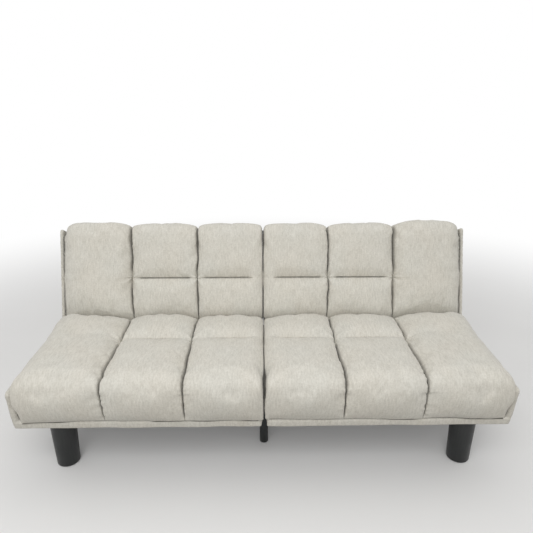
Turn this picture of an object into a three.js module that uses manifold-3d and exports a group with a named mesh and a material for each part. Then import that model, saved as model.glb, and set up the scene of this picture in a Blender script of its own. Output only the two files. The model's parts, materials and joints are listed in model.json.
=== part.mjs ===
// A click clack sofa bed in two halves. Each half has a seat section and a back section that
// folds down about a hinge axis between them. Lengths are in millimetres, angles in degrees.
// x runs across the sofa, y from front to back, z up, and z = 0 is the floor.
import * as THREE from "three";
import { mergeVertices } from "three/addons/utils/BufferGeometryUtils.js";
import Module from "manifold-3d";

const wasm = await Module();
wasm.setup();

// Driving dimensions of the whole sofa
const sofaWidth = 1680;
const centreGap = 18;
const hingeHeight = 352;
const seatUnderside = 210;
const backRecline = 17;
const forwardTravel = 6;
const meetingAngle = 17; // from upright, of the plane in which seat and back cushions meet

// A section is drawn flat, as it lies when the sofa is a bed: y is the distance from the hinge
// axis and z the height over it. Rise is the height of the cushion's cloth over the hinge axis,
// and reach is how far the cushion stands past the border at the section's free end.
const seat = {
  name: "seat",
  length: 512,
  faceLean: 37,
  depth: hingeHeight - seatUnderside,
  valleyRise: 52,
  crownRise: 80,
  valleyReach: 4,
  crownReach: 28,
  rollRadius: 56,
  seamDistance: 222,
  coverThickness: 1.7,
};
const back = {
  name: "back",
  length: 407,
  faceLean: 17,
  depth: 98,
  valleyRise: 28,
  crownRise: 60,
  valleyReach: 17,
  crownReach: 46,
  rollRadius: 46,
  seamDistance: 213,
  coverThickness: 3,
};

// Clearances
const seatGap = 0.3; // between pieces that touch
const hingeEndGap = 3; // from the hinge axis to each section's end
const overrun = 20; // how far a cut runs past what it cuts
const marginAngle = 0.5;

// Border, the upholstered wall that stands round each cushion
const borderRise = 20;
const outerBorder = 14;
const innerBorder = 9;
const endBorder = 10;
const bandHeight = 30;
const bandThickness = 12;
const borderCorner = 14;

// Cushion
const creaseWidth = 9;
const seamShares = [0.3075, 0.6494]; // the two long seams, as shares of the cushion's width
const edgeRise = 22;
const edgeReach = -8;
const edgeDraw = 12; // how far from its side the cushion's cloth starts to draw in
const crownLipGap = 1.2;
const valleyLipGap = 12;
const edgeLipGap = 18;
const lipRound = 34;
const endFaceGap = 4.5;
const crownPower = 3.2;
const faceBulge = 6;
const lipStartShare = 1 / 3; // where the lip's curve starts on the face at the hinge end
const faceBendShare = 1 / 2;

// Frame
const railThickness = 22;
const deckThickness = 6;
const deckDepth = 52; // from the hinge axis down to the deck's upper face
const boardWidth = 100;
const boardThickness = 22;

// Hinges
const plateThickness = 3;
const plateGap = 0.4;
const pivotRadius = 5;
const pivotClearance = 0.1;
const pivotHeadRadius = 9;
const pivotHeadThickness = 1.4;
const discRadius = 24;
const strapWidth = 30;
const backStrapWidth = 54;
const footWidth = 28;
const seatFoot = { start: 60, end: 190 };
const backFoot = { start: 50, end: 170 };
const spacerRadius = 8;
const notchDepth = 3;
const notchSideGap = 0.5;
const loungeAngle = 38;

// Pawl of the ratchet in each outer hinge
const pawlPivot = { y: 34, z: -22 };
const pawlPivotRadius = 2.5;
const pawlEyeRadius = 6;
const pawlTipGap = 0.5;
const pawlTipWidth = 5;
const pawlTipLength = 9;

// Legs
const legTopRadius = 46.5;
const legFootRadius = 40.5;
const legFootChamfer = 2;
const studRadius = 5;
const studLength = 18;
const studClearance = 0.4;
const legSideInset = 112;
const frontLegSetback = 88;
const rearLegDistance = 76;
const centreLegRadius = 17;
const centreLegFootRadius = 16;
const centreLegSetback = 185;
const beamThickness = 5;
const beamWidth = 110;
const beamEnd = 42; // from a centre leg's axis to the beam's end
const beamStudLength = 9;

// How finely curves are cut into facets
const cornerSegments = 6;
const discSegments = 36;
const pinSegments = 20;
const legSegments = 30;
const columnShares = [0, 0.05, 0.17, 0.37, 0.63, 0.83, 0.95];
const rearBlockShares = [0, 0.3, 0.65, 0.88];
const frontBlockShares = [0, 0.12, 0.35, 0.7];
const endBlockShares = [0, 0.4, 0.75, 1];

const half = sofaWidth / 2;
const inner = { face: centreGap / 2, thickness: innerBorder };
const outer = { face: half, thickness: outerBorder };
const cavity = {
  from: inner.face + inner.thickness,
  to: outer.face - outer.thickness,
};
const body = { from: cavity.from + creaseWidth, to: cavity.to - creaseWidth };
const uprightAngle = 90 - backRecline;
const legTop = seatUnderside - seatGap - hingeHeight; // over the hinge axis

// Above the hinge axis each section's end leans away from the other by its share of the angle
// between them, so that they clear each other when the back is pulled forward.
const slopeOf = (angle) =>
  Math.tan(THREE.MathUtils.degToRad(angle + forwardTravel / 2 + marginAngle));
const borderSlope = slopeOf(uprightAngle / 2);
seat.lipSlope = slopeOf(meetingAngle);
back.lipSlope = slopeOf(uprightAngle - meetingAngle);

function finish(color, roughness, metalness) {
  return new THREE.MeshStandardMaterial({ color, roughness, metalness });
}
const fabric = finish(0xc9c6bc, 0.95, 0);
const borderFabric = finish(0xbfbcb1, 0.95, 0);
const timber = finish(0xc8a878, 0.7, 0);
const board = finish(0x9a7a52, 0.8, 0);
const lining = finish(0x1c1c1d, 0.95, 0);
const steel = finish(0x8b8d90, 0.4, 0.9);
const blackLeg = finish(0x2c2f2f, 0.45, 0);
const blackSteel = finish(0x232526, 0.5, 0.6);

function solid(geometry) {
  const bare = geometry.index ? geometry.toNonIndexed() : geometry.clone();
  bare.deleteAttribute("normal");
  bare.deleteAttribute("uv");
  const merged = mergeVertices(bare);
  return new wasm.Manifold(
    new wasm.Mesh({
      numProp: 3,
      vertProperties: new Float32Array(merged.attributes.position.array),
      triVerts: new Uint32Array(merged.index.array),
    }),
  );
}

function surface(shape) {
  const mesh = shape.getMesh();
  const geometry = new THREE.BufferGeometry();
  geometry.setAttribute("position", new THREE.BufferAttribute(mesh.vertProperties, 3));
  geometry.setIndex(new THREE.BufferAttribute(mesh.triVerts, 1));
  const flat = geometry.toNonIndexed();
  flat.computeVertexNormals();
  return flat;
}

function piece(name, geometry, material) {
  const mesh = new THREE.Mesh(geometry, material);
  mesh.name = name;
  return mesh;
}

function block(x, y, z) {
  const size = [x, y, z].map(([low, high]) => high - low);
  const middle = [x, y, z].map(([low, high]) => (low + high) / 2);
  return new THREE.BoxGeometry(...size).translate(...middle);
}

// An outline in y and z, drawn out along x.
function slab(outline, from, to) {
  const shape = new THREE.Shape(outline);
  const geometry = new THREE.ExtrudeGeometry(shape, {
    depth: to - from,
    bevelEnabled: false,
    curveSegments: cornerSegments,
  });
  const axes = new THREE.Matrix4().makeBasis(
    new THREE.Vector3(0, 1, 0),
    new THREE.Vector3(0, 0, 1),
    new THREE.Vector3(1, 0, 0),
  );
  return geometry.applyMatrix4(axes).translate(from, 0, 0);
}

// A round bar along x.
function bar(radius, from, to, y, z, segments) {
  return new THREE.CylinderGeometry(radius, radius, to - from, segments)
    .rotateZ(Math.PI / 2)
    .translate((from + to) / 2, y, z);
}

function upright(radius, from, to, x, y, segments) {
  return new THREE.CylinderGeometry(radius, radius, to - from, segments)
    .rotateX(Math.PI / 2)
    .translate(x, y, (from + to) / 2);
}

// The points of a corner that is rounded off by a quadratic curve.
function rounded(from, corner, to, segments) {
  return new THREE.QuadraticBezierCurve(from, corner, to).getPoints(segments);
}

function along(from, to, share) {
  return from.clone().lerp(to, share);
}

// Where the sloping face at a section's free end lies at a height.
function freeFace(section, height) {
  const lower = section.length - section.faceLean;
  const share = (height + section.depth) / (borderRise + section.depth);
  return lower + section.faceLean * share;
}

// Side view of a section's border: upright at the hinge end up to the axis, then sloped so that
// the raised back clears the seat, and rounded at the free end.
function borderOutline(section) {
  const slopeStart = (hingeEndGap - crownLipGap) / borderSlope;
  const corner = new THREE.Vector2(section.length, borderRise);
  const foot = new THREE.Vector2(section.length - section.faceLean, -section.depth);
  const shareDown = borderCorner / corner.distanceTo(foot);
  return [
    new THREE.Vector2(hingeEndGap, -section.depth),
    foot,
    ...rounded(
      along(corner, foot, shareDown),
      corner,
      new THREE.Vector2(corner.x - borderCorner, borderRise),
      cornerSegments,
    ),
    new THREE.Vector2(crownLipGap + borderRise * borderSlope, borderRise),
    new THREE.Vector2(hingeEndGap, slopeStart),
  ];
}

function bandTop(section) {
  return bandHeight - section.depth;
}

function bandInside(section) {
  return section.length - section.faceLean - bandThickness;
}

function border(section) {
  const walls = solid(slab(borderOutline(section), inner.face, outer.face));
  const endInside = hingeEndGap + endBorder;
  const below = -section.depth - overrun;
  const above = borderRise + overrun;
  const outside = section.length + overrun;
  const hollow = [
    new THREE.Vector2(endInside, below),
    new THREE.Vector2(bandInside(section), below),
    new THREE.Vector2(bandInside(section), bandTop(section)),
    new THREE.Vector2(outside, bandTop(section)),
    new THREE.Vector2(outside, above),
    new THREE.Vector2(-overrun, above),
    new THREE.Vector2(-overrun, -deckDepth),
    new THREE.Vector2(endInside, -deckDepth),
  ];
  return surface(walls.subtract(solid(slab(hollow, cavity.from, cavity.to))));
}

// The cushion's outer line in side view, from its lower edge at the hinge end to the band. The
// list has the same number of points whatever the rise, so lines can be blended, and each point
// has its share of the crown.
function cushionLine(section, rise, reach, lipGap, bulge) {
  const lower = -deckDepth + seatGap;
  const faceStart = (endFaceGap - crownLipGap) / section.lipSlope;
  const lipCorner = new THREE.Vector2(lipGap + rise * section.lipSlope, rise);
  const lipStart = new THREE.Vector2(Math.max(endFaceGap, lipGap), faceStart);
  const lipEnd = new THREE.Vector2(lipCorner.x + lipRound, rise);
  const rollCorner = new THREE.Vector2(section.length + reach, rise);
  const bandLine = bandTop(section) + seatGap;
  const faceFoot = new THREE.Vector2(freeFace(section, bandLine) + bulge, bandLine);
  const rollStart = new THREE.Vector2(rollCorner.x - section.rollRadius, rise);
  const rollEnd = along(rollCorner, faceFoot, section.rollRadius / rollCorner.distanceTo(faceFoot));
  const seam = new THREE.Vector2(section.seamDistance, rise);
  const lipFoot = along(lipStart, lipCorner, lipStartShare);
  const lip = rounded(lipFoot, lipCorner, lipEnd, cornerSegments - 1);
  const roll = rounded(rollStart, rollCorner, rollEnd, cornerSegments);
  const faceBend = along(rollEnd, faceFoot, faceBendShare).add(new THREE.Vector2(bulge, 0));
  const faceCurve = new THREE.QuadraticBezierCurve(rollEnd, faceBend, faceFoot);
  const rows = [];
  const add = (point, crownShare) => rows.push({ point, crownShare, isCrossSeam: point === seam });
  add(new THREE.Vector2(endFaceGap, lower), 0);
  add(lipStart, 0);
  lip.slice(0, -1).forEach((point, i) => add(point, (i + 1) / cornerSegments));
  rearBlockShares.forEach((share) => add(along(lipEnd, seam, share), 1));
  add(seam, 0);
  frontBlockShares.slice(1).forEach((share) => add(along(seam, rollStart, share), 1));
  roll.forEach((point) => add(point, 1));
  endBlockShares
    .slice(1)
    .forEach((share) => add(faceCurve.getPoint(share), 1 - share * share));
  return rows;
}

// The cushion is lofted across x: between two seams its cloth crowns, at a seam it is drawn
// down, and at both sides it falls to the border.
function cushion(section) {
  const edge = cushionLine(section, edgeRise, edgeReach, edgeLipGap, 0);
  const valley = cushionLine(section, section.valleyRise, section.valleyReach, valleyLipGap, 0);
  const crown = cushionLine(section, section.crownRise, section.crownReach, crownLipGap, faceBulge);
  const width = body.to - body.from;
  const seams = [0, ...seamShares, 1].map((share) => body.from + width * share);
  const inside = [
    new THREE.Vector2(bandInside(section) + seatGap, bandTop(section) + seatGap),
    new THREE.Vector2(bandInside(section) + seatGap, -deckDepth + seatGap),
  ];

  const stations = [];
  for (let column = 0; column + 1 < seams.length; column++) {
    const span = seams[column + 1] - seams[column];
    const shares = column === seamShares.length ? [...columnShares, 1] : columnShares;
    for (const share of shares) {
      const x = seams[column] + span * share;
      const fullness = 1 - Math.abs(2 * share - 1) ** crownPower;
      const side = Math.min(x - body.from, body.to - x);
      stations.push({ x, fullness, drawn: Math.max(0, 1 - side / edgeDraw), column });
    }
  }

  const rings = stations.map(({ x, fullness, drawn, column }) => {
    const hasCrossSeam = column < seamShares.length;
    const line = valley.map(({ point, crownShare, isCrossSeam }, i) => {
      const share = isCrossSeam && !hasCrossSeam ? 1 : crownShare;
      return point
        .clone()
        .lerp(crown[i].point, fullness * share)
        .lerp(edge[i].point, drawn);
    });
    const ring = [...line, ...inside].reverse();
    return ring.map((point) => new THREE.Vector3(x, point.x, point.y));
  });
  return loft(rings);
}

// Joins rings that lie in planes across x into one closed skin.
function loft(rings) {
  const count = rings[0].length;
  const positions = rings.flat().flatMap((point) => point.toArray());
  const index = [];
  for (let i = 0; i + 1 < rings.length; i++) {
    for (let j = 0; j < count; j++) {
      const a = i * count + j;
      const b = i * count + ((j + 1) % count);
      index.push(a, b, a + count, b, b + count, a + count);
    }
  }
  const cap = (ring, start, facing) => {
    const outline = ring.map((point) => new THREE.Vector2(point.y, point.z));
    for (const [a, b, c] of THREE.ShapeUtils.triangulateShape(outline, [])) {
      const turn = outline[b].clone().sub(outline[a]).cross(outline[c].clone().sub(outline[a]));
      const face = turn * facing > 0 ? [a, b, c] : [a, c, b];
      index.push(...face.map((corner) => corner + start));
    }
  };
  cap(rings[0], 0, -1);
  cap(rings[rings.length - 1], (rings.length - 1) * count, 1);
  const geometry = new THREE.BufferGeometry();
  geometry.setAttribute("position", new THREE.Float32BufferAttribute(positions, 3));
  geometry.setIndex(index);
  return geometry.toNonIndexed();
}

// Heights and places of a section's frame, from its border and its deck.
function frameOf(section) {
  const low = -section.depth + section.coverThickness + seatGap;
  const high = -deckDepth - deckThickness - seatGap;
  const start = hingeEndGap + endBorder + seatGap;
  const end = bandInside(section) - seatGap;
  return { low, high, start, end };
}

function frameRails(section) {
  const { low, high, start, end } = frameOf(section);
  const height = [low, high];
  const across = [body.from, body.to];
  const lengthways = [start + railThickness + seatGap, end - railThickness - seatGap];
  return {
    hinge_rail: block(across, [start, start + railThickness], height),
    free_rail: block(across, [end - railThickness, end], height),
    outer_rail: block([body.to - railThickness, body.to], lengthways, height),
    inner_rail: block([body.from, body.from + railThickness], lengthways, height),
  };
}

function deck(section) {
  const { start, end } = frameOf(section);
  return block([body.from, body.to], [start, end], [-deckDepth - deckThickness, -deckDepth]);
}

function underCover(section) {
  const { start, end } = frameOf(section);
  const across = [cavity.from + seatGap, cavity.to - seatGap];
  const height = [-section.depth, -section.depth + section.coverThickness];
  return block(across, [start, end], height);
}

// Where the legs stand: x across the sofa, y the distance from the hinge axis.
const legX = half - legSideInset;
const frontLegY = seat.length - seat.faceLean - frontLegSetback;
const centreLegY = seat.length - seat.faceLean - centreLegSetback;

function studHole(x, y) {
  const low = -seat.depth - overrun;
  const high = -deckDepth;
  return solid(upright(studRadius + studClearance, low, high, x, y, pinSegments));
}

function drilled(geometry, holes) {
  return surface(holes.reduce((shape, hole) => shape.subtract(hole), solid(geometry)));
}

function legBoards() {
  const { low, start, end } = frameOf(seat);
  const across = [
    body.from + railThickness + seatGap,
    body.to - railThickness - seatGap,
  ];
  const height = [low, low + boardThickness];
  const rearStart = start + railThickness + seatGap;
  const frontEnd = end - railThickness - seatGap;
  return {
    rear_leg_board: drilled(block(across, [rearStart, rearStart + boardWidth], height), [
      studHole(legX, rearLegDistance),
    ]),
    front_leg_board: drilled(block(across, [frontEnd - boardWidth, frontEnd], height), [
      studHole(legX, frontLegY),
    ]),
  };
}

// A flat plate in y and z with a disc on the hinge axis, a strap, and a foot that screws to the
// rail. The foot runs along the rail at its middle height.
function plateSolid(section, width, foot, from, to) {
  const { low, high } = frameOf(section);
  const middle = (low + high) / 2;
  const disc = solid(bar(discRadius, from, to, 0, 0, discSegments));
  const end = new THREE.Vector2((foot.start + foot.end) / 2, middle);
  const side = end.clone().normalize().rotateAround(new THREE.Vector2(), Math.PI / 2);
  const across = side.multiplyScalar(width / 2);
  const strapOutline = [
    across.clone().negate(),
    end.clone().sub(across),
    end.clone().add(across),
    across,
  ];
  const strap = solid(slab(strapOutline, from, to));
  const footHeight = [middle - footWidth / 2, middle + footWidth / 2];
  const sole = solid(block([from, to], [foot.start, foot.end], footHeight));
  const reach = solid(block([from, to], [-discRadius, foot.end], [low, discRadius]));
  return disc.add(strap).add(sole).intersect(reach);
}

function pivotHole() {
  const across = sofaWidth;
  return solid(bar(pivotRadius + pivotClearance, -across, across, 0, 0, pinSegments));
}

// Three notches in the seat plate's disc, where the pawl holds the back: sitting, lounging, flat.
// They are turned into the seat's own view, which is mirrored front to back.
function notches(from, to) {
  const across = [from - overrun, to + overrun];
  const outwards = [discRadius - notchDepth, discRadius + overrun];
  const side = pawlTipWidth / 2 + notchSideGap;
  return [uprightAngle, loungeAngle, 0].map((angle) => {
    const turn = THREE.MathUtils.degToRad(180 - angle);
    return solid(block(across, outwards, [-side, side]).rotateX(turn));
  });
}

// The hinge lies in the crease between the cushion and the border. Its planes are stacked from
// the rail's face outwards, and turn is 1 at the outer side and -1 at the inner side.
function hingePlanes(face, turn) {
  const seatPlate = [seatGap, seatGap + plateThickness];
  const backPlate = [seatPlate[1] + plateGap, seatPlate[1] + plateGap + plateThickness];
  const head = [backPlate[1] + seatGap, backPlate[1] + seatGap + pivotHeadThickness];
  const place = ([low, high]) => [face + turn * low, face + turn * high].sort((a, b) => a - b);
  return { seatPlate: place(seatPlate), backPlate: place(backPlate), head: place(head) };
}

function seatPlate(face, turn, hasRatchet) {
  const [from, to] = hingePlanes(face, turn).seatPlate;
  const plate = plateSolid(seat, strapWidth, seatFoot, from, to).subtract(pivotHole());
  if (!hasRatchet) return surface(plate);
  return surface(notches(from, to).reduce((shape, notch) => shape.subtract(notch), plate));
}

function backPlate(face, turn, hasRatchet) {
  const planes = hingePlanes(face, turn);
  const [from, to] = planes.backPlate;
  const { low, high } = frameOf(back);
  const middle = (low + high) / 2;
  const ends = [...planes.seatPlate, ...planes.backPlate];
  const toRail = [Math.min(...ends), Math.max(...ends)];
  const stud = (radius, y, z) => solid(bar(radius, ...toRail, y, z, pinSegments));
  const inset = spacerRadius + seatGap;
  const plate = plateSolid(back, backStrapWidth, backFoot, from, to)
    .subtract(pivotHole())
    .add(stud(spacerRadius, backFoot.start + railThickness + inset, middle))
    .add(stud(spacerRadius, backFoot.end - inset, middle));
  if (!hasRatchet) return surface(plate);
  return surface(plate.add(stud(pawlPivotRadius, pawlPivot.y, pawlPivot.z)));
}

function pivotPin(face, turn) {
  const planes = hingePlanes(face, turn);
  const ends = [...planes.seatPlate, ...planes.head];
  const shaft = solid(bar(pivotRadius, Math.min(...ends), Math.max(...ends), 0, 0, pinSegments));
  const head = solid(bar(pivotHeadRadius, ...planes.head, 0, 0, pinSegments));
  return surface(shaft.add(head));
}

// The pawl turns on a stud of the back plate, and its nose stands just clear of the disc's rim.
function pawl(face, turn) {
  const [from, to] = hingePlanes(face, turn).seatPlate;
  const { y, z } = pawlPivot;
  const nose = discRadius + pawlTipGap;
  const outline = [
    new THREE.Vector2(y - pawlEyeRadius, z),
    new THREE.Vector2(y + pawlEyeRadius, z),
    new THREE.Vector2(nose + pawlTipLength, pawlTipWidth / 2),
    new THREE.Vector2(nose, pawlTipWidth / 2),
    new THREE.Vector2(nose, -pawlTipWidth / 2),
    new THREE.Vector2(y - pawlEyeRadius, z + pawlEyeRadius),
  ];
  const eye = solid(bar(pawlEyeRadius, from, to, y, z, pinSegments));
  const holeRadius = pawlPivotRadius + pivotClearance;
  const hole = solid(bar(holeRadius, from - overrun, to + overrun, y, z, pinSegments));
  return surface(eye.add(solid(slab(outline, from, to))).subtract(hole));
}

// A turned leg on the floor with a threaded stud on top.
function leg(footRadius, topRadius, height, stud) {
  const outline = [
    new THREE.Vector2(0, 0),
    new THREE.Vector2(footRadius - legFootChamfer, 0),
    new THREE.Vector2(footRadius, legFootChamfer),
    new THREE.Vector2(topRadius, height),
    new THREE.Vector2(studRadius, height),
    new THREE.Vector2(studRadius, height + stud),
    new THREE.Vector2(0, height + stud),
  ];
  return new THREE.LatheGeometry(outline, legSegments).rotateX(Math.PI / 2);
}

function addSection(group, section, label) {
  const name = (what) => section.name + "_" + what + "_" + label;
  group.add(piece(name("cushion"), cushion(section), fabric));
  group.add(piece(name("border"), border(section), borderFabric));
  for (const [what, geometry] of Object.entries(frameRails(section)))
    group.add(piece(name(what), geometry, timber));
  group.add(piece(name("deck"), deck(section), board));
}

// One half of the sofa, drawn on the right. The left half is its mirror image.
function halfSofa(label, mirrored) {
  const side = new THREE.Group();
  side.scale.x = mirrored ? -1 : 1;

  const seatGroup = new THREE.Group();
  seatGroup.scale.y = -1;
  addSection(seatGroup, seat, label);
  const dustCover = drilled(underCover(seat), [
    studHole(legX, frontLegY),
    studHole(legX, rearLegDistance),
  ]);
  seatGroup.add(piece("seat_dust_cover_" + label, dustCover, lining));
  for (const [what, geometry] of Object.entries(legBoards()))
    seatGroup.add(piece("seat_" + what + "_" + label, geometry, timber));

  const backGroup = new THREE.Group();
  backGroup.rotation.x = THREE.MathUtils.degToRad(uprightAngle);
  addSection(backGroup, back, label);
  backGroup.add(piece("back_rear_cover_" + label, underCover(back), borderFabric));

  const sides = [
    { where: "outer", face: body.to, turn: 1, hasRatchet: true },
    { where: "inner", face: body.from, turn: -1, hasRatchet: false },
  ];
  for (const { where, face, turn, hasRatchet } of sides) {
    const name = (what) => what + "_" + where + "_" + label;
    seatGroup.add(piece(name("hinge_seat_plate"), seatPlate(face, turn, hasRatchet), steel));
    seatGroup.add(piece(name("hinge_pin"), pivotPin(face, turn), steel));
    backGroup.add(piece(name("hinge_back_plate"), backPlate(face, turn, hasRatchet), steel));
    if (hasRatchet) backGroup.add(piece("ratchet_pawl_" + label, pawl(face, turn), blackSteel));
  }
  side.add(seatGroup, backGroup);

  const stands = { front_leg_: frontLegY, rear_leg_: rearLegDistance };
  for (const [what, y] of Object.entries(stands)) {
    const turned = leg(legFootRadius, legTopRadius, hingeHeight + legTop, studLength);
    side.add(piece(what + label, turned.translate(legX, -y, -hingeHeight), blackLeg));
  }
  return side;
}

// The beam that joins the two halves lies under their inner rails, on the two centre legs.
function centreSupport() {
  const group = new THREE.Group();
  const low = legTop - beamThickness;
  const stands = { front_centre_leg: centreLegY, rear_centre_leg: rearLegDistance };
  const beam = block(
    [-beamWidth / 2, beamWidth / 2],
    [-centreLegY - beamEnd, -rearLegDistance + beamEnd],
    [low, legTop],
  );
  const holes = Object.values(stands).map((y) => studHole(0, -y));
  group.add(piece("centre_beam", drilled(beam, holes), blackSteel));
  const height = hingeHeight + low - seatGap;
  for (const [name, y] of Object.entries(stands)) {
    const post = leg(centreLegFootRadius, centreLegRadius, height, beamStudLength);
    group.add(piece(name, post.translate(0, -y, -hingeHeight), blackLeg));
  }
  return group;
}

const sofa = new THREE.Group();
sofa.add(halfSofa("right", false), halfSofa("left", true), centreSupport());
const bounds = new THREE.Box3().setFromObject(sofa, true);
sofa.position.set(0, -(bounds.min.y + bounds.max.y) / 2, hingeHeight);

export default sofa;
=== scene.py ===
import json
import math
from types import SimpleNamespace

import bpy
import numpy as np
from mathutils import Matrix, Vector


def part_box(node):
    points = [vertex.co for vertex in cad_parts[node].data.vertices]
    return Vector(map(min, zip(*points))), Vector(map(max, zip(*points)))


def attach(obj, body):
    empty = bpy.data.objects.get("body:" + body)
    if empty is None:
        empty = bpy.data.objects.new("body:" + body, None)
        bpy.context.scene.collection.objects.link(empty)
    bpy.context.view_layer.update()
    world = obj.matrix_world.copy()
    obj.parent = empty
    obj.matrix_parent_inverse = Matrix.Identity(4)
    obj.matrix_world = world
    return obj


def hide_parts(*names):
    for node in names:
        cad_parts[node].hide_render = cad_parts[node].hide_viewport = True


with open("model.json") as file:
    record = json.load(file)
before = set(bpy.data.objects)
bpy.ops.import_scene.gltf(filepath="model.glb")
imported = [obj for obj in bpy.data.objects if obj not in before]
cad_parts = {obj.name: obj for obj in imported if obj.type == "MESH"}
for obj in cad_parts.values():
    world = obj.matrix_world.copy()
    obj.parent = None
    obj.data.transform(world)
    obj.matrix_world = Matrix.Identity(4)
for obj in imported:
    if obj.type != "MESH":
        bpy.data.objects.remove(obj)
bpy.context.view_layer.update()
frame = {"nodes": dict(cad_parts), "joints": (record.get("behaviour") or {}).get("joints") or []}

# The right half is drawn, and the left half is its mirror image with creases of its own.
sides = {"right": 1, "left": -1}
hinge = next(joint["pos_m"] for joint in frame["joints"] if joint["name"] == "recline_right")
hingeY, hingeZ = hinge[1], hinge[2]
recline = math.radians(73)  # how far the back is raised from flat
cushionLow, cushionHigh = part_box("seat_cushion_right")
borderLow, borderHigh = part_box("seat_border_right")
coverLow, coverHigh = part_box("seat_dust_cover_right")

camera = {
    "place": (-0.0124, -1.7475, 1.3150),
    "looksAlong": (0.0131, 0.9401, -0.3406),
    "lens": 33.77,
    "sensor": 36,
}

# Sizes of a section as it lies flat: t is the distance from the hinge, h the height over it. A
# valley is where a long seam runs, a crown is the middle of a column, and a pair of sizes is the
# stretch over which something sets in.
seat = {
    "name": "seat",
    "seed": 11,
    "length": 0.512,
    "depth": 0.142,
    "faceLean": 0.037,  # how far the free face leans out from its foot to its rim
    "valley": {"rise": 0.050, "reach": 0.004},  # height, and how far the roll stands out at the front
    "crown": {"rise": 0.0765, "reach": 0.025},
    "rollRadius": 0.056,
    "rearRise": 0.016,  # extra height of the crowns at the hinge
    "lipRound": 0.024,
    "lipTurn": 4.5,  # degrees by which the lip leans to and fro
    "meetingAngle": 24.5,  # degrees from upright to the plane where seat and back meet
    "seamDistance": 0.222,  # from the hinge to the cross seam
    "crossDepth": 0.46,
    "crossWidth": 0.034,
    "crossGroove": 0.0040,
    "crossShade": 0.72,
    "flatPower": 5.0,  # the higher, the flatter the columns
    "outerFullness": 1.0,
    "gapFall": 0.35,  # how far the end columns have fallen at the middle gap and at the outer side
    "outerFall": 0.25,
    "sideBulge": 0.019,
    "faceCrease": 0.0030,
    "arch": 0.0,
    "rearCorner": 0.16,
    "gapHalf": 0.0015,  # half the middle gap, and how far the gap wanders
    "gapWave": 0.0024,
    "outerSag": {"right": 0.0015, "left": 0.0080},
    "frontPuff": {"right": 0.009, "left": 0.015},
    "rimRise": 0.0,
    "cap": 0.012,  # how far the filling may move a point
}
back = {
    "name": "back",
    "seed": 47,
    "length": 0.407,
    "depth": 0.098,
    "faceLean": 0.017,
    "valley": {"rise": 0.027, "reach": 0.017},
    "crown": {"rise": 0.0565, "reach": 0.0445},
    "rollRadius": 0.046,
    "rearRise": 0.0,
    "lipRound": 0.011,
    "lipTurn": -4.5,
    "meetingAngle": 55.5,
    "seamDistance": 0.213,
    "crossDepth": 0.60,
    "crossWidth": 0.030,
    "crossGroove": 0.0062,
    "crossShade": 0.95,
    "flatPower": 7.0,
    "outerFullness": 1.26,
    "gapFall": 0.55,
    "outerFall": 0.90,
    "sideBulge": -0.011,
    "faceCrease": 0.0015,
    "arch": 0.0016,
    "rearCorner": 0.0,
    "gapHalf": 0.0026,
    "gapWave": 0.0,
    "outerSag": {"right": 0.0, "left": 0.0},
    "frontPuff": {"right": 0.0, "left": 0.0},
    "rimRise": 0.008,
    "cap": 0.010,
}
cushion = {
    "valley": {"lipGap": 0.012, "bulge": 0.0045},  # from the plane of meeting, and out over the band
    "crown": {"lipGap": 0.0012, "bulge": 0.011},
    "edge": {"rise": 0.022, "reach": -0.008, "lipGap": 0.018, "bulge": 0},
    "seamShares": (0.3075, 0.6494),
    "borderRise": 0.020,
    "bandHeight": 0.0350,
    "bandThickness": 0.0123,
    "bandLap": 0.0006,
    "bandSag": 0.0032,
    "sagSpread": (0.56, 0.78),
    "lowest": -0.0517,
    "endFaceGap": 0.0045,
    "footRound": 0.012,
    "footLift": 0.0002,
    "insideCorner": -0.08,
    "closingCorner": 0.2,
    "linePoints": {
        "lipStart": 9, "lipFoot": 4, "lipEnd": 11, "rollEnd": 15, "footStart": 12,
        "footEnd": 6, "bandTop": 3, "bandFoot": 6, "closed": 18,
    },
    "cell": 0.0072,
    "nearSeam": (0.0012, 0.0028, 0.0050, 0.0080, 0.0118, 0.0165),
    "rearSpare": 0.085,
    "frontSpare": 0.030,
    "roundPower": 2.0,
    "roundRoot": 0.54,
    "flatRoot": 0.50,
    "rollShare": 0.65,
    "sideFade": (0.004, 0.040),  # where the cross seam fades out beside a long seam
    "crossPower": 2.2,
    "tackDip": 0.008,
    "tackReach": (0.034, 0.024),
    "tackSpread": 0.020,
    "cornerReach": (0.02, 0.12),
    "lipWave": 0.43,
    "lipShift": 0.11,
    "hingeReach": (0.030, 0.048),
    "hingeRise": (0.026, 0.042),
    "rimReach": (0.004, 0.018),
    "faceReach": (-0.075, 0.020),
    "gapEndWidth": 0.1,
    "gapEndFall": 0.008,
    "sideRoom": 0.03,
    "creaseBulge": 0.0070,
    "closing": 0.58,
    "closingWidth": 0.017,
    "seamWander": 0.0030,
    "wanderWidth": 0.055,
    "footReach": (0.0, 0.045),
    "wobble": 0.0011,
    "poleHeight": -0.02,
    "poleInset": 0.006,
    "sideDrop": 0.04,
    "gatherWidth": 0.016,
    "frames": 20,
    "pressedGap": 0.0004,
    "seamDepth": 0.0095,
    "seamWidth": 0.0024,
    "pucker": 0.0015,
    "rollPucker": 0.0040,
    "crossPucker": 0.0009,
    "tackWrinkle": 0.0058,
    "sideGather": 0.0015,
    "unevenness": 0.0011,
    "leastX": 0.0002,
    "sideOverhang": 0.008,
    "highestLip": 0.3,
    "fill": 0.85,
}

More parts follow.
